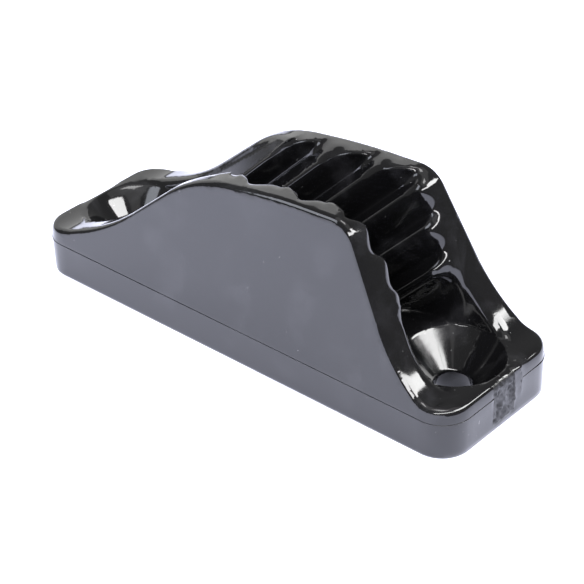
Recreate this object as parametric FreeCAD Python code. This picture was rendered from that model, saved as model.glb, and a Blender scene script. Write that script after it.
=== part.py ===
import FreeCAD, Part
import math
import os

# Jam cleat: one moulded nylon body. A rope lies in the toothed groove
# between two cheeks, and a countersunk screw holds each end to the deck.
# Millimetres. X runs along the groove, Y across it, +Z up; the origin is
# the middle of the underside.

Vector = FreeCAD.Vector
os.makedirs("parts", exist_ok=True)

# Overall body
body_width = 20.2
corner_radius = 3.75
parting_height = 4.6        # widest line, where the two mould halves met
land_height = 6.36          # flat ends, level with the floor of the groove
flange_draft = 0.8          # degrees, below the parting line
side_draft = 6.7            # degrees, above the parting line
outer_edge_radius = 0.7
inner_edge_radius = 1.2

# Side view of the cheeks: corners of the outline, and how far the rounding
# of each one reaches along both of its sides. Insets are from the body's end.
tail_foot_inset = 3.7
tail_foot_reach = 2.0
tail_bend_inset = 12.0
tail_bend_height = 9.9
tail_bend_reach = 5.4
shoulder_inset = 25.5
shoulder_height = 21.3
shoulder_reach = 5.1
crown_x = 5.5               # from the middle of the body
crown_height = 23.25
crown_reach = 4.85
nose_inset = 15.7
nose_height = 23.8
nose_reach = 2.2
slope_foot_inset = 8.6
slope_foot_height = 10.05
slope_foot_reach = 4.1
front_foot_inset = 4.15
front_foot_reach = 1.1

# Screw holes
hole_inset = 7.0            # from the body's end to the middle of the hole
bore_radius = 2.2
bore_length = 2.65          # straight part below the countersink
countersink_angle = 90.0    # degrees, full cone

# Groove between the teeth: a V with slightly leaning walls
floor_half_width = 1.2
groove_lean = 0.20          # half-width gained for each millimetre of height
tooth_slope = 45.0          # degrees below the horizontal, towards the tail

# Open ends of the groove, flaring out towards the two dishes
front_opening_half_width = 4.8
front_opening_lean = 0.055
tail_flare_angle = 40.0
front_flare_angle = 53.0
tail_flare_radius = 2.4
front_flare_radius = 5.8
front_corner_radius = 2.0
crest_corner_radius = 2.6

# Teeth
tooth_pitch = 4.25          # measured square to the ridges
tooth_gaps = 5
first_crest_run = 7.0       # at the floor, from the tail hole's middle to the first ridge
last_crest_run = 12.948     # at the floor, from the last ridge to the front hole's middle
last_crest_width = 0.7
tooth_depth = 1.8
first_valley_share = 0.48   # part of the pitch from a ridge to its hollow's deepest line
last_valley_share = 0.68
valley_radius = 0.25
ridge_radius = 1.0          # rounded crest of a ridge
ridge_skim = 0.03           # taken off the plain wall by cutting the teeth
tooth_run_out = 0.3         # part of a slope that the end hollows run on past the wall
steepening_power = 3        # how soon the hollows reach their steepest towards the front

overshoot = 0.3             # cutting and filling shapes run past the body by this
touching = 0.001            # closer than this counts as on a surface
facing_up = 0.3             # a face whose normal rises more than this is a top face
run_per_rise = 1 / math.tan(math.radians(tooth_slope))
crest_step = tooth_pitch / math.sin(math.radians(tooth_slope))
hole_x = (first_crest_run + tooth_gaps * crest_step + last_crest_run) / 2
half_length = hole_x + hole_inset
cut_height = max(crown_height, nose_height) + overshoot
dish_radius = bore_radius + (land_height - bore_length) * math.tan(math.radians(countersink_angle / 2))


def half_angle(before, corner, after):
    return (before - corner).getAngle(after - corner) / 2


def rounded_edges(points, radii):
    """Edges of an open outline through points; inner corners are rounded."""
    edges = []
    last = points[0]
    for i in range(1, len(points) - 1):
        here = points[i]
        to_before = (points[i - 1] - here).normalize()
        to_after = (points[i + 1] - here).normalize()
        half = half_angle(points[i - 1], here, points[i + 1])
        reach = radii[i] / math.tan(half)
        start = here + to_before * reach
        end = here + to_after * reach
        inward = (to_before + to_after).normalize()
        centre = here + inward * (radii[i] / math.sin(half))
        middle = centre - inward * radii[i]
        edges.append(Part.LineSegment(last, start).toShape())
        edges.append(Part.Arc(start, middle, end).toShape())
        last = end
    edges.append(Part.LineSegment(last, points[-1]).toShape())
    return edges


def footprint(inset, height):
    """Rounded rectangle of the body, moved in by inset, at a height."""
    half_x = half_length - inset
    half_y = body_width / 2 - inset
    radius = corner_radius - inset
    points = [
        Vector(0, -half_y, height),
        Vector(half_x, -half_y, height),
        Vector(half_x, half_y, height),
        Vector(-half_x, half_y, height),
        Vector(-half_x, -half_y, height),
        Vector(0, -half_y, height),
    ]
    return Part.Wire(rounded_edges(points, [0, radius, radius, radius, radius, 0]))


def drafted_block():
    """Drafted outside of the body, widest at the parting line."""
    flange_inset = parting_height * math.tan(math.radians(flange_draft))
    top_inset = (cut_height - parting_height) * math.tan(math.radians(side_draft))
    widest = footprint(0, parting_height)
    flange = Part.makeLoft([footprint(flange_inset, 0), widest], True, True)
    upper = Part.makeLoft([widest, footprint(top_inset, cut_height)], True, True)
    return flange, upper


def side_view_bar():
    """Bar with the side view of the cheeks, longer and wider than the body."""
    end = 2 * half_length
    corners = [
        (-end, land_height, 0),
        (tail_foot_inset - half_length, land_height, tail_foot_reach),
        (tail_bend_inset - half_length, tail_bend_height, tail_bend_reach),
        (shoulder_inset - half_length, shoulder_height, shoulder_reach),
        (crown_x, crown_height, crown_reach),
        (half_length - nose_inset, nose_height, nose_reach),
        (half_length - slope_foot_inset, slope_foot_height, slope_foot_reach),
        (half_length - front_foot_inset, land_height, front_foot_reach),
        (end, land_height, 0),
    ]
    points = [Vector(x, -body_width, z) for x, z, reach in corners]
    radii = [0] * len(corners)
    for i in range(1, len(corners) - 1):
        radii[i] = corners[i][2] * math.tan(half_angle(points[i - 1], points[i], points[i + 1]))
    edges = rounded_edges(points, radii)
    foot = [Vector(end, -body_width, -overshoot), Vector(-end, -body_width, -overshoot)]
    edges.append(Part.LineSegment(points[-1], foot[0]).toShape())
    edges.append(Part.LineSegment(foot[0], foot[1]).toShape())
    edges.append(Part.LineSegment(foot[1], points[0]).toShape())
    return Part.Face(Part.Wire(edges)).extrude(Vector(0, 2 * body_width, 0))


def crest_x(index, height):
    """Where ridge number index stands along the groove at a height."""
    rise = height - land_height
    return first_crest_run - hole_x + index * crest_step + rise * run_per_rise


def wall_half_width(height):
    return floor_half_width + groove_lean * (height - land_height)


def groove_plan(height):
    """Plan of the untoothed groove at a height: V walls and both openings."""
    rise = height - land_height
    wall = wall_half_width(height)
    front_width = front_opening_half_width + front_opening_lean * rise
    tail_crest = crest_x(0, height)
    front_crest = crest_x(tooth_gaps, height) + last_crest_width / math.sin(math.radians(tooth_slope))
    tail_run = (dish_radius - wall) / math.tan(math.radians(tail_flare_angle))
    front_run = (front_width - wall) / math.tan(math.radians(front_flare_angle))
    flare_scale = (front_width - wall) / (front_opening_half_width - floor_half_width)
    side = [
        Vector(-hole_x, dish_radius, height),
        Vector(tail_crest - tail_run, dish_radius, height),
        Vector(tail_crest, wall, height),
        Vector(front_crest, wall, height),
        Vector(front_crest + front_run, front_width, height),
        Vector(hole_x + rise * run_per_rise, front_width, height),
    ]
    crest_scale = (1 + flare_scale) / 2
    radii = [
        0,
        tail_flare_radius * crest_scale,
        crest_corner_radius * crest_scale,
        crest_corner_radius * crest_scale,
        front_flare_radius * flare_scale ** 2,
        0,
    ]
    edges = rounded_edges(side, radii)
    other = [Vector(p.x, -p.y, p.z) for p in reversed(side)]
    edges.append(Part.LineSegment(side[-1], other[0]).toShape())
    edges.extend(rounded_edges(other, list(reversed(radii))))
    edges.append(Part.LineSegment(other[-1], side[0]).toShape())
    return Part.Wire(edges)


def well(x, bottom):
    """Round space above a screw head."""
    return Part.makeCylinder(dish_radius, cut_height, Vector(x, 0, bottom))


def is_upright(edge):
    box = edge.BoundBox
    return box.XLength + box.YLength < box.ZLength / 2


def rises_on_well(edge):
    """True for the upright edge where the front flare meets the front well."""
    if not is_upright(edge):
        return False
    for vertex in edge.Vertexes:
        radius = math.hypot(vertex.X - hole_x, vertex.Y)
        if abs(radius - dish_radius) > touching or vertex.X > hole_x:
            return False
    return True


def top_edges(solid):
    """Edges of the faces that look upward and lie above the lands."""
    found = []
    for face in solid.Faces:
        u, v = face.Surface.parameter(face.CenterOfMass)
        if face.normalAt(u, v).z > facing_up and face.CenterOfMass.z > land_height + overshoot:
            found.extend(face.Edges)
    return found


def wave_corners(crests, inward):
    """Corners of the wave across one wall, ridge by hollow, with their radii."""
    points = [crests[0]]
    radii = [0]
    for i in range(tooth_gaps):
        steepening = (1 - i / (tooth_gaps - 1)) ** steepening_power
        share = last_valley_share - (last_valley_share - first_valley_share) * steepening
        points.append(crests[i] + (crests[i + 1] - crests[i]) * share + inward * tooth_depth)
        points.append(crests[i + 1])
        radii.extend([valley_radius, ridge_radius])
    radii[-1] = 0
    for i in range(2, len(points) - 1, 2):
        half = half_angle(points[i - 1], points[i], points[i + 1])
        rounding = ridge_radius * (1 / math.sin(half) - 1)
        points[i] = points[i] + inward * (ridge_skim - rounding)
    points[0] = points[0] + (points[0] - points[1]) * tooth_run_out
    points[-1] = points[-1] + (points[-1] - points[-2]) * tooth_run_out
    return points, radii


def tooth_hollows(side):
    """All the hollows in one wall as one wavy bar that runs along the slanting ridges."""
    along = Vector(run_per_rise, side * groove_lean, 1).normalize()
    across = (Vector(1, 0, 0) - along * along.x).normalize()
    inward = across.cross(along) * -side
    start = Vector(crest_x(0, land_height), side * floor_half_width, land_height)
    crests = [start + across * (crest_step * across.x * i) for i in range(tooth_gaps + 1)]
    points, radii = wave_corners(crests, inward)
    edges = rounded_edges(points, radii)
    edges.append(Part.LineSegment(points[-1], points[0]).toShape())
    return Part.Face(Part.Wire(edges)).extrude(along * (2 * cut_height))


def grooved_bar():
    """The bar with the untoothed groove and wells, inner rim rounded."""
    well_bottom = land_height / 2
    groove = Part.makeLoft([groove_plan(land_height), groove_plan(cut_height)], True, True)
    wells = [well(-hole_x, well_bottom), well(hole_x, well_bottom)]
    bar = side_view_bar().cut(groove.fuse(wells))
    bar = bar.makeFillet(front_corner_radius, [e for e in bar.Edges if rises_on_well(e)])
    rim = []
    for side in (-1, 1):
        crown = Vector(crown_x, side * wall_half_width(crown_height), crown_height)
        rim.append(min(top_edges(bar), key=lambda edge: (edge.CenterOfMass - crown).Length))
    bar = bar.makeFillet(inner_edge_radius, rim)
    bar = bar.cut([tooth_hollows(-1), tooth_hollows(1)])
    half_width = dish_radius + overshoot
    plug = Part.makeBox(4 * half_length, 2 * half_width, land_height + overshoot)
    plug.translate(Vector(-2 * half_length, -half_width, -overshoot))
    return bar.fuse(plug).removeSplitter()


def outer_rim(body, block):
    """Edges where the top of the body meets its drafted outside."""
    rim = []
    for edge in body.Edges:
        if edge.BoundBox.Center.z < land_height - touching or is_upright(edge):
            continue
        middle = edge.valueAt((edge.FirstParameter + edge.LastParameter) / 2)
        if block.Shells[0].distToShape(Part.Vertex(middle))[0] < touching:
            rim.append(edge)
    return rim


def screw_hole(x):
    """Bore with a countersink that opens out to the land."""
    bore = Part.makeCylinder(bore_radius, land_height + overshoot, Vector(x, 0, -overshoot))
    sink = Part.makeCone(bore_radius, dish_radius, land_height - bore_length, Vector(x, 0, bore_length))
    return bore.fuse(sink)


def cleat_body():
    flange, upper = drafted_block()
    block = flange.fuse(upper)
    body = grooved_bar().common(block)
    body = body.makeFillet(outer_edge_radius, outer_rim(body, block))
    holes = [screw_hole(side * hole_x) for side in (-1, 1)]
    return body.cut(holes)


body = cleat_body()
body.exportStep("parts/cleat_body.step")
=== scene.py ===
"""Jam cleat: finish, studio and camera for a moulded rope cleat."""

import math

import bpy
import numpy as np
import openvdb
from mathutils import Matrix, Vector
from mathutils.bvhtree import BVHTree


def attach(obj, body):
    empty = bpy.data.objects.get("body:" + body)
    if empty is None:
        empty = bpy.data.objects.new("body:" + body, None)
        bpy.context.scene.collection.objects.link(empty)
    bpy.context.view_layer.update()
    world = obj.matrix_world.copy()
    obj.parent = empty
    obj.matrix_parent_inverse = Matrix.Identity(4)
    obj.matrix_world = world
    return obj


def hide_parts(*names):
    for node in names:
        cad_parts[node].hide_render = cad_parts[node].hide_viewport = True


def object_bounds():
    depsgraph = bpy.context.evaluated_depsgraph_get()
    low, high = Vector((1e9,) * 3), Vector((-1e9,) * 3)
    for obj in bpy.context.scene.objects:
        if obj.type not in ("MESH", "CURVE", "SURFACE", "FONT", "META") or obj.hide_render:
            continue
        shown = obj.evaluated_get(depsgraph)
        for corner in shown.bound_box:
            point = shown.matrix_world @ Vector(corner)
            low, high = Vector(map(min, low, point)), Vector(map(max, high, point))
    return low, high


bl_info = {
    "name": "Jam Cleat Studio",
    "version": (1, 0, 0),
    "blender": (4, 5, 0),
    "location": "View3D > Sidebar > Jam Cleat",
    "description": "Finishes a moulded jam cleat and sets it on a plain studio floor",
    "category": "Object",
}

BODY = "cleat_body"
MILLIMETRE = 0.001


def plain(box):
    """Corners of a box as lists."""
    return [list(corner) for corner in box]


# The frame, and the box of the solid in it, in metres
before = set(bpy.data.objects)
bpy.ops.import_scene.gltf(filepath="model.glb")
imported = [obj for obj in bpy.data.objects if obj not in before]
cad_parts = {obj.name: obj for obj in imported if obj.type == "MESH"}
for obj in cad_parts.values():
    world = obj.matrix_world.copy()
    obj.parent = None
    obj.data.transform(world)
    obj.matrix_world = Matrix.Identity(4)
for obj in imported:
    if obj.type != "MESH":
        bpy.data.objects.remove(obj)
cad_box = plain(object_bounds())

# The moulding's surface is rebuilt on a fine cubic lattice, in millimetres
LATTICE_STEP = 0.125
SHADING_SOFTNESS = 0.3
# Steps on each side of the surface that hold distances, and how readily flat places get large faces
SHELL_STEPS = 13.0
FLAT_MERGE = 0.02
# How many spreads the bell curve reaches, and the least area of a triangle in square millimetres
BELL_REACH = 2.5
SMALLEST_AREA = 1e-6
# Over which turns, in degrees, and over which marks the field's own normals take over
OWN_TURNS = (8.0, 30.0)
OWN_MARKS = (0.3, 0.7)

# Groove and teeth, in millimetres, and where in each pitch its valley lies, as a share
LAND_HEIGHT = 6.36
GROOVE_HALF_WIDTH = 1.2
GROOVE_LEAN = 0.2
FIRST_CREST = -18.0
TOOTH_PITCH = 4.25
VALLEY_SHARES = (0.48, 0.596, 0.655, 0.677, 0.68)
NOSE_X = 15.0
# Where across the cheeks their top outline is read, and over how many lattice steps it is evened
CHEEK_Y = 8.0
OUTLINE_SAMPLES = 17

# Over which stretch the hollows' softening fades: first two in pitches, the rest in millimetres
RISER_FADE = (-0.2, -0.04)
CREST_FADE = (0.0, 0.15)
NOSE_FADE = 1.0
END_DEPTHS = (1.0, 2.0)
END_REACH = (2.2, 3.0)
# How far before the first crest and past the last one the hollows' ends count, in pitches
ROW_MARGINS = (0.1, 0.25)
# The flare below the last ridge: its start in pitches past that ridge, then millimetres
FLARE_START = (0.05, 0.45)
FLARE_HEIGHTS = (6.2, 7.2)
FLARE_FRONT = (21.5, 23.5)
FLARE_SIDES = (5.8, 6.8)
FLARE_SHARE = 0.75
# The tail dish's outer rim: how far behind the hole, as a share, then millimetres
RIM_BEHIND = (0.1, 0.7)
RIM_BAND = (0.9, 1.7)
RIM_HEIGHTS = (4.6, 5.2)
RIM_SHARE = 0.6

# Body outline at the parting line, and the screw hole and its dish, in millimetres
HALF_LENGTH, HALF_WIDTH = (round(side / MILLIMETRE, 2) for side in cad_box[1][:2])
CORNER_RADIUS = 3.75
PARTING_HEIGHT = 4.6
CORNER_STEPS = 12
HOLE_X = 25.0
DISH_RADIUS = 5.91

# Torn gate mark on the front end, in millimetres
FRONT_DEPTH = 1.2
GATE_SIDES = (-1.9, 2.1)
GATE_HEIGHTS = (1.0, 6.1)
GATE_DEPTH = 0.05
GATE_ROUGHNESS = 0.11
GATE_BLUR = 0.1
GATE_FOOT_BLUR = 0.3
# Its grain: the spreads of the fine and the coarse part in millimetres, and the coarse part's share
GRAIN_SEED = 3
FINE_GRAIN = 0.16
COARSE_GRAIN = 0.4
COARSE_SHARE = 0.8
# Its two upright ribs of flash and its spill over the top, in millimetres; the last is a share of the reach
RIB_PLACES = (1.9, 3.2)
RIB_FOOT = 2.3
RIB_WIDTH = 0.13
RIB_HEIGHT = 0.14
RIB_WOBBLE = 0.05
RIB_FADE = (-0.3, 0.5)
SPILL_MIDDLE = (31.55, 2.6, 6.2)
SPILL_REACH = (0.5, 0.95, 0.32)
SPILL_ROUGHNESS = 0.12

# The nylon: its marks' scales count waves in a metre, and the height of its tears is in millimetres
NYLON_IOR = 1.5
SMUDGE_MARKS = {"Scale": 160.0, "Start": 0.5, "End": 0.72, "Grain Scale": 2200.0}
DUST_MARKS = {"Scale": 2300.0, "Start": 0.715, "End": 0.74, "Grain Scale": 9000.0}
TEAR_MARKS = {"Scale": 1800.0, "Start": 0.42, "End": 0.62, "Grain Scale": 5200.0}
TEAR_STRETCH = (1.0, 1.0, 0.3)
TEAR_HEIGHT = 0.05
CLEAN_TONE = 0.6
SMUDGED_TONE = 2.2
GATE_MATTNESS = 0.25
TEAR_MATTNESS = 0.2

# Bead along the parting line, in metres, with its waves counted in a metre
BEAD_RADIUS = 0.00004
BEAD_SPACING = 0.0003
BEAD_WAVES = 900.0
BEAD_SEED = 4.0
BEAD_SIDES = 8
THINNEST_BEAD = 0.7
BEAD_UNEVENNESS = 0.6

# Studio, in metres
FLOOR_HALF = 2.0
FLOOR_COLOUR = (0.82, 0.84, 1.0, 1.0)
FLOOR_ROUGHNESS = 0.9
WORLD_BRIGHTNESS = 0.26

# Camera worked out from the photograph, in degrees, metres and pixels, with its sensor in millimetres
PHOTO_SIDE = 584
CAMERA_AZIMUTH = 42.34
CAMERA_ELEVATION = 34.31
CAMERA_ROLL = -1.7
CAMERA_DISTANCE = 0.2303
FOCAL_PIXELS = 1918.21
CENTRE_RIGHT = -5.6
CENTRE_DOWN = 29.55
SENSOR = 36.0


def mesh_arrays(mesh):
    """Corners in millimetres and triangles of a mesh."""
    corners = np.empty(len(mesh.vertices) * 3, np.float32)
    mesh.vertices.foreach_get("co", corners)
    mesh.calc_loop_triangles()
    triangles = np.empty(len(mesh.loop_triangles) * 3, np.int32)
    mesh.loop_triangles.foreach_get("vertices", triangles)
    return corners.reshape(-1, 3).astype(float) / MILLIMETRE, triangles.reshape(-1, 3).astype(np.uint32)


def distance_field(mesh):
    """Distances to the surface of a mesh on the lattice, negative inside."""
    corners, triangles = mesh_arrays(mesh)
    grid = openvdb.FloatGrid.createLevelSetFromPolygons(
        corners, triangles=triangles, halfWidth=SHELL_STEPS,
        transform=openvdb.createLinearTransform(voxelSize=LATTICE_STEP))
    low, high = grid.evalActiveVoxelBoundingBox()
    field = np.empty([b - a + 1 for a, b in zip(low, high)], np.float32)
    grid.copyToArray(field, ijk=low)
    return field, low


def softened(field, spread):
    """Field smoothed by a bell curve of this spread in millimetres, which rounds every edge."""
    spread = spread / LATTICE_STEP
    reach = math.ceil(BELL_REACH * spread)
    weights = np.exp(-0.5 * (np.arange(-reach, reach + 1) / spread) ** 2)
    weights = (weights / weights.sum()).astype(np.float32)
    for axis in range(3):
        turned = np.moveaxis(field, axis, 0)
        padded = np.pad(turned, [(reach, reach), (0, 0), (0, 0)], mode="edge")
        turned = sum(weight * padded[i:i + len(turned)] for i, weight in enumerate(weights))
        field = np.moveaxis(turned, 0, axis)
    return np.ascontiguousarray(field)


def field_values(field, places):
    """Field between the lattice points, at places counted in steps."""
    cell = np.clip(np.floor(places), 0, np.array(field.shape) - 2).astype(int)
    part = places - cell
    total = 0.0
    for corner in np.ndindex(2, 2, 2):
        share = np.prod(np.where(corner, part, 1 - part), axis=1)
        total = total + share * field[tuple((cell + corner).T)]
    return total


def surface_normals(field, places):
    """Unit slope of the field at places counted in steps."""
    half_steps = np.eye(3) * 0.5
    slopes = [field_values(field, places + step) - field_values(field, places - step) for step in half_steps]
    normals = np.stack(slopes, axis=1)
    return normals / np.linalg.norm(normals, axis=1, keepdims=True)


def lattice_axes(field, low):
    """Lattice coordinates in millimetres along X, Y and Z, shaped to be combined."""
    spans = zip(field.shape, low)
    axes = [(np.arange(count) + start).astype(np.float32) * LATTICE_STEP for count, start in spans]
    return axes[0][:, None, None], axes[1][None, :, None], axes[2][None, None, :]


def ramp(value, start, end):
    """Smooth step from nought at start to one at end."""
    part = np.clip((value - start) / (end - start), 0.0, 1.0)
    return part * part * (3 - 2 * part)


def depth_below_top(field, low, z):
    """Depth below the cheeks' sloping top, measured square to its slope."""
    cheek = int(round(CHEEK_Y / LATTICE_STEP)) - low[1]
    top = z[..., -1, -1].max() - np.argmax(field[:, cheek, ::-1] < 0, axis=1) * LATTICE_STEP
    padded = np.pad(top, OUTLINE_SAMPLES // 2, mode="edge")
    evened = np.convolve(padded, np.ones(OUTLINE_SAMPLES) / OUTLINE_SAMPLES, "valid")
    level = np.cos(np.arctan(np.gradient(evened, LATTICE_STEP))).astype(np.float32)
    return (top.astype(np.float32)[:, None, None] - z) * level[:, None, None]


def hollow_ends(field, low):
    """Mask of the hollows' upper ends and the flare, where the mould leaves soft forms."""
    x, y, z = lattice_axes(field, low)
    rows = len(VALLEY_SHARES)
    wall = GROOVE_HALF_WIDTH + GROOVE_LEAN * (z - LAND_HEIGHT)
    depth = depth_below_top(field, low, z)
    # Along the ridges, which rise towards the front, and across them
    along = np.array((1.0, GROOVE_LEAN, 1.0)) / math.sqrt(2 + GROOVE_LEAN ** 2)
    across = np.array((1.0, 0.0, 0.0)) - along * along[0]
    across = across / np.linalg.norm(across)
    run = ((x - FIRST_CREST) * across[0] + (np.abs(y) - GROOVE_HALF_WIDTH) * across[1]
           + (z - LAND_HEIGHT) * across[2]) / TOOTH_PITCH
    index = np.clip(np.floor(run), 0, rows - 1).astype(int)
    part = run - index
    share = np.array(VALLEY_SHARES, np.float32)[index]
    riser = ramp(part, share + RISER_FADE[0], share + RISER_FADE[1])
    riser = np.maximum(riser, 1 - ramp(part, *CREST_FADE))
    riser = np.maximum(riser, ramp(x, NOSE_X - NOSE_FADE, NOSE_X + NOSE_FADE))
    riser = riser * (run > -ROW_MARGINS[0]) * (run < rows + ROW_MARGINS[1])
    ends = riser * (1 - ramp(depth, *END_DEPTHS)) * (1 - ramp(np.abs(y) - wall, *END_REACH))
    flare = ramp(run, rows + FLARE_START[0], rows + FLARE_START[1]) * ramp(z, *FLARE_HEIGHTS)
    flare = flare * (1 - ramp(x, *FLARE_FRONT)) * (1 - ramp(np.abs(y), *FLARE_SIDES))
    return np.maximum(ends, FLARE_SHARE * flare)


def tail_rim(field, low):
    """Mask of the tail dish's outer rim, one where it is softly rounded."""
    x, y, z = lattice_axes(field, low)
    around = np.hypot(x + HOLE_X, y)
    behind = ramp(-(x + HOLE_X) / np.maximum(around, LATTICE_STEP), *RIM_BEHIND)
    return behind * (1 - ramp(np.abs(around - DISH_RADIUS), *RIM_BAND)) * ramp(z, *RIM_HEIGHTS)


def front_slab(low):
    """First lattice index of the slab at the front end that holds the gate mark."""
    return int(round((HALF_LENGTH - FRONT_DEPTH) / LATTICE_STEP)) - low[0]


def torn_grain(shape):
    """Uneven height of the torn nylon over the front end, fine and coarse, with a spread of one."""
    noise = np.random.default_rng(GRAIN_SEED).standard_normal(shape).astype(np.float32)
    grain = softened(noise[None], FINE_GRAIN)[0] + COARSE_SHARE * softened(noise[None, ::-1], COARSE_GRAIN)[0]
    return grain / grain.std()


def tear_gate(field, low):
    """Field with the torn gate mark and its flash on the front end."""
    axes = lattice_axes(field, low)
    y, z = axes[1][0], axes[2][0]
    grain = torn_grain(field.shape[1:])
    patch = ramp(y, GATE_SIDES[0] - GATE_BLUR, GATE_SIDES[0] + GATE_BLUR)
    patch = patch * (1 - ramp(y, GATE_SIDES[1] - GATE_BLUR, GATE_SIDES[1] + GATE_BLUR))
    patch = patch * ramp(z, GATE_HEIGHTS[0] - GATE_FOOT_BLUR, GATE_HEIGHTS[0] + GATE_FOOT_BLUR)
    patch = patch * (1 - ramp(z, GATE_HEIGHTS[1] - GATE_BLUR, GATE_HEIGHTS[1] + 2 * GATE_BLUR))
    cut = patch * (GATE_DEPTH + GATE_ROUGHNESS * grain)
    for place in RIB_PLACES:
        rib = np.exp(-((y - place - RIB_WOBBLE * grain) / RIB_WIDTH) ** 2)
        cut = cut - RIB_HEIGHT * rib * ramp(z, RIB_FOOT + RIB_FADE[0], RIB_FOOT + RIB_FADE[1])
    torn = field.copy()
    torn[front_slab(low):] += cut[None]
    reach = [(axis - middle) / size for axis, middle, size in zip(axes, SPILL_MIDDLE, SPILL_REACH)]
    distance = np.sqrt(reach[0] ** 2 + reach[1] ** 2 + reach[2] ** 2)
    spill = (distance - 1 + SPILL_ROUGHNESS * grain[None]) * min(SPILL_REACH)
    return np.minimum(torn, spill)


def source_normals(mesh, points):
    """Smooth normals of a mesh at its places nearest to the points."""
    corners, triangles = mesh_arrays(mesh)
    loops = np.empty(len(triangles) * 3, np.int32)
    mesh.loop_triangles.foreach_get("loops", loops)
    normals = np.empty(len(mesh.loops) * 3, np.float32)
    mesh.corner_normals.foreach_get("vector", normals)
    tree = BVHTree.FromPolygons(corners.tolist(), triangles.tolist())
    found = [tree.find_nearest(Vector(point)) for point in points.tolist()]
    place = np.array([hit[0] for hit in found])
    index = np.array([hit[2] for hit in found])
    a, b, c = (corners[triangles[index, k]] for k in range(3))
    area = np.cross(b - a, c - a)
    size = np.maximum(np.einsum("ij,ij->i", area, area), SMALLEST_AREA ** 2)
    share_b = np.einsum("ij,ij->i", np.cross(place - a, c - a), area) / size
    share_c = np.einsum("ij,ij->i", np.cross(b - a, place - a), area) / size
    shares = np.stack((1 - share_b - share_c, share_b, share_c), axis=1)
    at_corners = normals.reshape(-1, 3)[loops.reshape(-1, 3)[index]]
    return np.einsum("ik,ikj->ij", shares, at_corners)


def blended_normals(field_normals, smooth_normals, own):
    """The smooth normals, and the field's own at edges and wherever own says so."""
    smooth_normals = smooth_normals / np.linalg.norm(smooth_normals, axis=1, keepdims=True)
    turn = np.degrees(np.arccos(np.clip(np.einsum("ij,ij->i", field_normals, smooth_normals), -1, 1)))
    share = np.maximum(ramp(turn, *OWN_TURNS), own)[:, None]
    return field_normals * share + smooth_normals * (1 - share)


def surface_mesh(name, field, low, source, own):
    """Mesh of the surface where the field is nought; own marks where it isn't shaded as its source."""
    grid = openvdb.FloatGrid(float(field.max()))
    grid.transform = openvdb.createLinearTransform(voxelSize=LATTICE_STEP)
    grid.copyFromArray(field, ijk=low)
    points, triangles, quads = grid.convertToPolygons(adaptivity=FLAT_MERGE)
    mesh = bpy.data.meshes.new(name)
    mesh.from_pydata((points * MILLIMETRE).tolist(), [], triangles.tolist() + quads.tolist())
    mesh.shade_smooth()
    places = points / LATTICE_STEP - np.array(low)
    own = ramp(field_values(own, places), *OWN_MARKS)
    field_normals = surface_normals(softened(field, SHADING_SOFTNESS), places)
    normals = blended_normals(field_normals, source_normals(source, points), own)
    mesh.normals_split_custom_set_from_vertices(normals.tolist())
    return mesh


def body_mesh(settings):
    """Mesh of the moulded body, with its edges softened and its gate mark torn."""
    source = bpy.data.objects[BODY].data
    field, low = distance_field(source)
    crisp = softened(field, settings.edge_softness / MILLIMETRE)
    soft = softened(field, settings.end_softness / MILLIMETRE)
    own = np.maximum(hollow_ends(field, low), RIM_SHARE * tail_rim(field, low))
    field = tear_gate(crisp + (soft - crisp) * own, low)
    own[front_slab(low):] = 1.0
    return surface_mesh("moulded_body", field, low, source, own)


def add_node(tree, kind, values=(), **settings):
    """New node; values sets inputs by name, settings sets the node's own fields."""
    node = tree.nodes.new(kind)
    for name, value in settings.items():
        setattr(node, name, value)
    for name, value in dict(values).items():
        node.inputs[name].default_value = value
    return node


def marks_group():
    """Node group of marks on a surface: a soft-edged mask and a fine height."""
    tree = bpy.data.node_groups.new("surface_marks", "ShaderNodeTree")
    tree.interface.new_socket("Vector", in_out="INPUT", socket_type="NodeSocketVector")
    for name, value in (("Scale", 200.0), ("Start", 0.5), ("End", 0.7), ("Grain Scale", 2500.0)):
        socket = tree.interface.new_socket(name, in_out="INPUT", socket_type="NodeSocketFloat")
        socket.default_value = value
    tree.interface.new_socket("Mask", in_out="OUTPUT", socket_type="NodeSocketFloat")
    tree.interface.new_socket("Height", in_out="OUTPUT", socket_type="NodeSocketFloat")
    link = tree.links.new
    given = add_node(tree, "NodeGroupInput")
    result = add_node(tree, "NodeGroupOutput")
    cloud = add_node(tree, "ShaderNodeTexNoise", {"Detail": 5.0, "Roughness": 0.6, "Distortion": 0.4})
    edge = add_node(tree, "ShaderNodeMapRange", interpolation_type="SMOOTHSTEP")
    grain = add_node(tree, "ShaderNodeTexNoise", {"Detail": 3.0, "Roughness": 0.65})
    link(given.outputs["Vector"], cloud.inputs["Vector"])
    link(given.outputs["Scale"], cloud.inputs["Scale"])
    link(cloud.outputs["Fac"], edge.inputs["Value"])
    link(given.outputs["Start"], edge.inputs["From Min"])
    link(given.outputs["End"], edge.inputs["From Max"])
    link(given.outputs["Vector"], grain.inputs["Vector"])
    link(given.outputs["Grain Scale"], grain.inputs["Scale"])
    link(edge.outputs["Result"], result.inputs["Mask"])
    link(grain.outputs["Fac"], result.inputs["Height"])
    return tree


def place_marks(tree, group, vector, values):
    """Node that puts the marks of the group on a surface."""
    node = add_node(tree, "ShaderNodeGroup", node_tree=group)
    for name, value in values.items():
        node.inputs[name].default_value = value
    tree.links.new(vector, node.inputs["Vector"])
    return node


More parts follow.
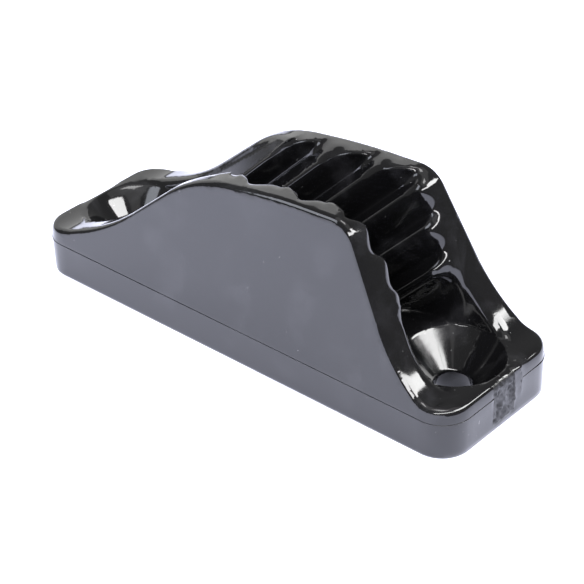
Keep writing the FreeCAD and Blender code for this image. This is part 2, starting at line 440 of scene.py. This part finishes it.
def band_mask(tree, value, start, end, blur):
    """One between start and end, in metres, with soft edges."""
    rise = add_node(tree, "ShaderNodeMapRange", {"From Min": start - blur, "From Max": start + blur})
    fall = add_node(tree, "ShaderNodeMapRange",
                    {"From Min": end - blur, "From Max": end + blur, "To Min": 1.0, "To Max": 0.0})
    both = add_node(tree, "ShaderNodeMath", operation="MULTIPLY")
    tree.links.new(value, rise.inputs["Value"])
    tree.links.new(value, fall.inputs["Value"])
    tree.links.new(rise.outputs["Result"], both.inputs[0])
    tree.links.new(fall.outputs["Result"], both.inputs[1])
    return both.outputs[0]


def math_node(tree, operation, first, second, third=None):
    """Math node whose inputs are sockets or numbers."""
    node = add_node(tree, "ShaderNodeMath", operation=operation)
    for socket, value in zip(node.inputs, (first, second, third)):
        if isinstance(value, bpy.types.NodeSocket):
            tree.links.new(value, socket)
        elif value is not None:
            socket.default_value = value
    return node.outputs[0]


def gate_mask(tree, vector):
    """One on the torn gate mark at the front end."""
    split = add_node(tree, "ShaderNodeSeparateXYZ")
    tree.links.new(vector, split.inputs["Vector"])
    front = (HALF_LENGTH - FRONT_DEPTH / 2, HALF_LENGTH + FRONT_DEPTH)
    limits = (("X", front), ("Y", GATE_SIDES), ("Z", GATE_HEIGHTS))
    parts = [band_mask(tree, split.outputs[name], low * MILLIMETRE, high * MILLIMETRE, GATE_BLUR * MILLIMETRE)
             for name, (low, high) in limits]
    return math_node(tree, "MULTIPLY", math_node(tree, "MULTIPLY", parts[0], parts[1]), parts[2])


def nylon_colour(tree, settings, smudge, dust):
    """Colour of the nylon, paler in its smudges and dust."""
    tone = add_node(tree, "ShaderNodeMix", data_type="RGBA")
    tone.inputs["A"].default_value = (*(value * CLEAN_TONE for value in settings.colour), 1.0)
    tone.inputs["B"].default_value = (*(value * SMUDGED_TONE for value in settings.colour), 1.0)
    tree.links.new(smudge.outputs["Mask"], tone.inputs["Factor"])
    dusty = add_node(tree, "ShaderNodeMix", data_type="RGBA")
    dusty.inputs["B"].default_value = (*settings.dust_colour, 1.0)
    tree.links.new(tone.outputs["Result"], dusty.inputs["A"])
    tree.links.new(math_node(tree, "MULTIPLY", dust.outputs["Mask"], settings.dust), dusty.inputs["Factor"])
    return dusty.outputs["Result"]


def nylon_roughness(tree, settings, smudge, gate, tear):
    """Roughness of the nylon, greater in its smudges and on the torn gate mark."""
    torn = math_node(tree, "MULTIPLY", gate, tear.outputs["Mask"])
    rough = math_node(tree, "MULTIPLY_ADD", smudge.outputs["Mask"], settings.smudges, settings.roughness)
    rough = math_node(tree, "MULTIPLY_ADD", gate, GATE_MATTNESS, rough)
    return math_node(tree, "MULTIPLY_ADD", torn, TEAR_MATTNESS, rough)


def nylon_normal(tree, settings, smudge, gate, tear):
    """Normal of the nylon with its fine grain and the tears of the gate mark."""
    height = math_node(tree, "MULTIPLY", smudge.outputs["Height"], settings.grain / MILLIMETRE)
    tears = math_node(tree, "MULTIPLY", gate, tear.outputs["Height"])
    height = math_node(tree, "MULTIPLY_ADD", tears, TEAR_HEIGHT, height)
    bump = add_node(tree, "ShaderNodeBump", {"Strength": 1.0, "Distance": MILLIMETRE})
    tree.links.new(height, bump.inputs["Height"])
    return bump.outputs["Normal"]


def nylon_material(settings):
    """Glossy black moulded nylon with smudges, dust and a torn gate mark."""
    material = bpy.data.materials.new("moulded_nylon")
    material.use_nodes = True
    tree = material.node_tree
    link = tree.links.new
    shader = tree.nodes["Principled BSDF"]
    shader.inputs["IOR"].default_value = NYLON_IOR
    vector = add_node(tree, "ShaderNodeTexCoord").outputs["Object"]
    group = marks_group()
    smudge = place_marks(tree, group, vector, SMUDGE_MARKS)
    dust = place_marks(tree, group, vector, DUST_MARKS)
    stretched = add_node(tree, "ShaderNodeMapping", {"Scale": TEAR_STRETCH})
    link(vector, stretched.inputs["Vector"])
    tear = place_marks(tree, group, stretched.outputs["Vector"], TEAR_MARKS)
    gate = gate_mask(tree, vector)
    link(nylon_colour(tree, settings, smudge, dust), shader.inputs["Base Color"])
    link(nylon_roughness(tree, settings, smudge, gate, tear), shader.inputs["Roughness"])
    link(nylon_normal(tree, settings, smudge, gate, tear), shader.inputs["Normal"])
    return material


def parting_outline():
    """Mesh of edges along the parting line, from one side of the gate mark round to the other."""
    height = PARTING_HEIGHT * MILLIMETRE
    corners = [(HALF_LENGTH * MILLIMETRE, RIB_PLACES[1] * MILLIMETRE, height)]
    for quarter in range(4):
        turn = math.pi / 2 * quarter
        middle_x = math.copysign(HALF_LENGTH - CORNER_RADIUS, math.cos(turn + math.pi / 4))
        middle_y = math.copysign(HALF_WIDTH - CORNER_RADIUS, math.sin(turn + math.pi / 4))
        for part in range(CORNER_STEPS + 1):
            angle = turn + math.pi / 2 * part / CORNER_STEPS
            corners.append((
                (middle_x + CORNER_RADIUS * math.cos(angle)) * MILLIMETRE,
                (middle_y + CORNER_RADIUS * math.sin(angle)) * MILLIMETRE,
                height,
            ))
    corners.append((HALF_LENGTH * MILLIMETRE, GATE_SIDES[0] * MILLIMETRE, height))
    mesh = bpy.data.meshes.new("parting_outline")
    mesh.from_pydata(corners, [(i, i + 1) for i in range(len(corners) - 1)], [])
    return mesh


def bead_tree():
    """Geometry nodes that lay an uneven bead along an outline."""
    tree = bpy.data.node_groups.new("parting_bead", "GeometryNodeTree")
    sockets = tree.interface
    sockets.new_socket("Geometry", in_out="INPUT", socket_type="NodeSocketGeometry")
    numbers = (("Bead Radius", BEAD_RADIUS), ("Spacing", BEAD_SPACING), ("Unevenness", BEAD_UNEVENNESS))
    for name, value in numbers:
        sockets.new_socket(name, in_out="INPUT", socket_type="NodeSocketFloat").default_value = value
    sockets.new_socket("Material", in_out="INPUT", socket_type="NodeSocketMaterial")
    sockets.new_socket("Geometry", in_out="OUTPUT", socket_type="NodeSocketGeometry")
    link = tree.links.new
    given = add_node(tree, "NodeGroupInput")
    result = add_node(tree, "NodeGroupOutput")
    curve = add_node(tree, "GeometryNodeMeshToCurve")
    points = add_node(tree, "GeometryNodeResampleCurve", mode="LENGTH")
    noise = add_node(tree, "ShaderNodeTexNoise", {"Scale": BEAD_WAVES, "Detail": 2.0, "W": BEAD_SEED},
                     noise_dimensions="4D")
    profile = add_node(tree, "GeometryNodeCurvePrimitiveCircle", {"Resolution": BEAD_SIDES})
    sweep = add_node(tree, "GeometryNodeCurveToMesh", {"Fill Caps": True})
    smooth = add_node(tree, "GeometryNodeSetShadeSmooth")
    realize = add_node(tree, "GeometryNodeRealizeInstances")
    finish = add_node(tree, "GeometryNodeSetMaterial")
    link(given.outputs["Geometry"], curve.inputs["Mesh"])
    link(curve.outputs["Curve"], points.inputs["Curve"])
    link(given.outputs["Spacing"], points.inputs["Length"])
    waves, unevenness = noise.outputs["Fac"], given.outputs["Unevenness"]
    thickness = math_node(tree, "MULTIPLY_ADD", waves, unevenness, THINNEST_BEAD)
    link(given.outputs["Bead Radius"], profile.inputs["Radius"])
    link(points.outputs["Curve"], sweep.inputs["Curve"])
    link(profile.outputs["Curve"], sweep.inputs["Profile Curve"])
    link(thickness, sweep.inputs["Scale"])
    link(sweep.outputs["Mesh"], smooth.inputs["Geometry"])
    link(smooth.outputs["Geometry"], realize.inputs["Geometry"])
    link(realize.outputs["Geometry"], finish.inputs["Geometry"])
    link(given.outputs["Material"], finish.inputs["Material"])
    link(finish.outputs["Geometry"], result.inputs["Geometry"])
    return tree


def applied(piece):
    """The object with the mesh that its modifiers make, and without the modifiers."""
    graph = bpy.context.evaluated_depsgraph_get()
    mesh = bpy.data.meshes.new_from_object(piece.evaluated_get(graph))
    piece.modifiers.clear()
    piece.data = mesh
    return piece


def parting_bead(settings, material):
    """Fine bead of flash where the two mould halves met."""
    bead = bpy.data.objects.new("parting_bead", parting_outline())
    bpy.context.scene.collection.objects.link(bead)
    modifier = bead.modifiers.new("bead", "NODES")
    modifier.node_group = bead_tree()
    sockets = {item.name: item.identifier for item in modifier.node_group.interface.items_tree
               if item.in_out == "INPUT"}
    modifier[sockets["Bead Radius"]] = settings.bead_width
    modifier[sockets["Material"]] = material
    return applied(bead)


def camera_axes():
    """Right, up and back directions of the camera."""
    azimuth, elevation, roll = map(math.radians, (CAMERA_AZIMUTH, CAMERA_ELEVATION, CAMERA_ROLL))
    back = Vector((
        math.sin(azimuth) * math.cos(elevation),
        -math.cos(azimuth) * math.cos(elevation),
        math.sin(elevation),
    ))
    level = Vector((math.cos(azimuth), math.sin(azimuth), 0.0))
    rise = back.cross(level)
    right = math.cos(roll) * level + math.sin(roll) * rise
    up = math.cos(roll) * rise - math.sin(roll) * level
    return right, up, back


def add_camera():
    """Camera that sees the cleat as the photograph does."""
    right, up, back = camera_axes()
    data = bpy.data.cameras.new("photo_camera")
    data.sensor_width = SENSOR
    data.lens = FOCAL_PIXELS / PHOTO_SIDE * SENSOR
    data.shift_x = -CENTRE_RIGHT / PHOTO_SIDE
    data.shift_y = CENTRE_DOWN / PHOTO_SIDE
    camera = bpy.data.objects.new("photo_camera", data)
    matrix = Matrix((right, up, back)).transposed().to_4x4()
    matrix.translation = back * CAMERA_DISTANCE
    camera.matrix_world = matrix
    bpy.context.scene.collection.objects.link(camera)
    bpy.context.scene.camera = camera


def direction(azimuth, elevation, distance=1.0):
    """Vector of this length; azimuth is turned from +X towards +Y, in degrees."""
    azimuth, elevation = math.radians(azimuth), math.radians(elevation)
    level = math.cos(elevation)
    return Vector((math.cos(azimuth) * level, math.sin(azimuth) * level, math.sin(elevation))) * distance


def add_softbox(name, middle, along, size, brightness, tint=(1.0, 1.0, 1.0), back=None):
    """Rectangular light; brightness is what is seen in it, back the way that its rear looks."""
    data = bpy.data.lights.new(name, "AREA")
    data.shape = "RECTANGLE"
    data.size, data.size_y = size
    data.energy = brightness * math.pi * size[0] * size[1]
    data.color = tint
    light = bpy.data.objects.new(name, data)
    back = back or middle.normalized()
    across = back.cross(along).normalized()
    matrix = Matrix((across.cross(back), across, back)).transposed().to_4x4()
    matrix.translation = middle
    light.matrix_world = matrix
    bpy.context.scene.collection.objects.link(light)
    return light


def paper_material():
    """Pale matt paper."""
    material = bpy.data.materials.new("floor_paper")
    material.use_nodes = True
    shader = material.node_tree.nodes["Principled BSDF"]
    shader.inputs["Base Color"].default_value = FLOOR_COLOUR
    shader.inputs["Roughness"].default_value = FLOOR_ROUGHNESS
    shader.inputs["Specular IOR Level"].default_value = 0.0
    return material


def add_floor():
    """Paper floor under the cleat."""
    corners = [(x * FLOOR_HALF, y * FLOOR_HALF, 0) for x, y in ((-1, -1), (1, -1), (1, 1), (-1, 1))]
    mesh = bpy.data.meshes.new("floor")
    mesh.from_pydata(corners, [], [(0, 1, 2, 3)])
    floor = bpy.data.objects.new("floor", mesh)
    bpy.context.scene.collection.objects.link(floor)
    mesh.materials.append(paper_material())
    return floor


def set_world():
    """Dim even light from all sides."""
    world = bpy.data.worlds.new("studio")
    bpy.context.scene.world = world
    world.use_nodes = True
    background = world.node_tree.nodes["Background"]
    background.inputs["Color"].default_value = (1.0, 1.0, 1.0, 1.0)
    background.inputs["Strength"].default_value = WORLD_BRIGHTNESS


def add_lights():
    """Lights where the photograph's reflections put them, in metres from the middle of the underside."""
    along_x, along_y, along_z = Vector((1, 0, 0)), Vector((0, 1, 0)), Vector((0, 0, 1))
    add_softbox("overhead_light", middle=Vector((0, 0, 0.6)), along=along_x, size=(0.2, 0.2), brightness=7.0)
    add_softbox("ceiling_card", middle=Vector((0, 0, 1.0)), along=along_x, size=(1.1, 1.1), brightness=0.6)
    fill = add_softbox(
        "fill_light", middle=Vector((0, -0.3, 0.35)), along=along_x, size=(0.3, 0.3), brightness=12.0)
    fill.visible_glossy = False
    add_softbox("main_light", middle=Vector((0.4, 0.275, 0.506)), along=along_y, size=(0.5, 0.307),
                brightness=20.0, back=along_x)
    strip_along = direction(-5, 45) - direction(-80, 20)
    add_softbox("strip_light", middle=direction(-43, 41, distance=0.5), along=strip_along,
                size=(0.65, 0.075), brightness=20.0)
    tail_dish = Vector((-HOLE_X * MILLIMETRE, 0.0, 0.005))
    add_softbox("window_light", middle=tail_dish + direction(-104, 43, distance=0.09), along=along_z,
                size=(0.05, 0.043), brightness=5.5, tint=(0.85, 0.9, 1.0), back=direction(-104, 43))
    add_softbox("side_card", middle=direction(155, 19, distance=0.8), along=direction(65, 0),
                size=(0.95, 0.45), brightness=1.05)


class CleatSettings(bpy.types.PropertyGroup):
    """What can be set on the finished cleat"""
    colour: bpy.props.FloatVectorProperty(
        name="Colour", description="Colour of the nylon", subtype="COLOR", size=3,
        default=(0.004, 0.004, 0.0045), min=0.0, max=1.0)
    roughness: bpy.props.FloatProperty(
        name="Roughness", description="Roughness of the moulded surface", default=0.08, min=0.0, max=1.0)
    smudges: bpy.props.FloatProperty(
        name="Smudges", description="How much rougher the smudged places are", default=0.05, min=0.0, max=0.5)
    grain: bpy.props.FloatProperty(
        name="Grain", description="Height of the finest unevenness", subtype="DISTANCE", unit="LENGTH",
        default=0.0000012, min=0.0, max=0.00005)
    dust: bpy.props.FloatProperty(
        name="Dust", description="How much fine dust shows", subtype="FACTOR", default=0.6, min=0.0, max=1.0)
    dust_colour: bpy.props.FloatVectorProperty(
        name="Dust Colour", description="Colour of the fine dust", subtype="COLOR", size=3,
        default=(0.3, 0.3, 0.31), min=0.0, max=1.0)
    edge_softness: bpy.props.FloatProperty(
        name="Edge Softness", description="How far the mould rounds the sharp edges", subtype="DISTANCE",
        unit="LENGTH", default=0.00011, min=0.00005, max=0.0005)
    end_softness: bpy.props.FloatProperty(
        name="Hollow End Softness", description="How far the hollows' upper ends are rounded",
        subtype="DISTANCE", unit="LENGTH", default=0.0006, min=0.00005, max=0.0006)
    bead_width: bpy.props.FloatProperty(
        name="Parting Bead", description="Radius of the bead along the parting line", subtype="DISTANCE",
        unit="LENGTH", default=BEAD_RADIUS, min=0.00001, max=0.0003)


class JAMCLEAT_OT_body(bpy.types.Operator):
    """Give the moulded body its soft edges and its nylon finish"""
    bl_idname = "jamcleat.body"
    bl_label = "Finish Body"

    def execute(self, context):
        settings = context.scene.jam_cleat
        mesh = body_mesh(settings)
        mesh.materials.append(nylon_material(settings))
        body = bpy.data.objects.new("moulded_body", mesh)
        context.scene.collection.objects.link(body)
        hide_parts(BODY)
        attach(body, "root")
        return {"FINISHED"}


class JAMCLEAT_OT_bead(bpy.types.Operator):
    """Lay the bead of flash along the parting line of the finished body"""
    bl_idname = "jamcleat.bead"
    bl_label = "Lay Parting Bead"

    def execute(self, context):
        nylon = bpy.data.objects["moulded_body"].active_material
        bead = parting_bead(context.scene.jam_cleat, nylon)
        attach(bead, "root")
        return {"FINISHED"}


class JAMCLEAT_OT_stage(bpy.types.Operator):
    """Build the floor, the lights and the camera"""
    bl_idname = "jamcleat.stage"
    bl_label = "Build Stage"

    def execute(self, context):
        add_floor()
        set_world()
        add_lights()
        context.scene.view_settings.view_transform = "Standard"
        add_camera()
        return {"FINISHED"}


class JAMCLEAT_PT_panel(bpy.types.Panel):
    """Sidebar panel with the settings and the three steps"""
    bl_label = "Jam Cleat"
    bl_idname = "JAMCLEAT_PT_panel"
    bl_space_type = "VIEW_3D"
    bl_region_type = "UI"
    bl_category = "Jam Cleat"

    def draw(self, context):
        settings = context.scene.jam_cleat
        for name in settings.__annotations__:
            self.layout.prop(settings, name)
        for operator in OPERATORS:
            self.layout.operator(operator.bl_idname)


OPERATORS = (JAMCLEAT_OT_body, JAMCLEAT_OT_bead, JAMCLEAT_OT_stage)
CLASSES = (CleatSettings, *OPERATORS, JAMCLEAT_PT_panel)


def register():
    for cls in CLASSES:
        bpy.utils.register_class(cls)
    bpy.types.Scene.jam_cleat = bpy.props.PointerProperty(type=CleatSettings)


def unregister():
    del bpy.types.Scene.jam_cleat
    for cls in reversed(CLASSES):
        bpy.utils.unregister_class(cls)


def main():
    register()
    bpy.ops.jamcleat.body()
    bpy.ops.jamcleat.bead()
    bpy.ops.jamcleat.stage()


if __name__ == "__main__":
    main()
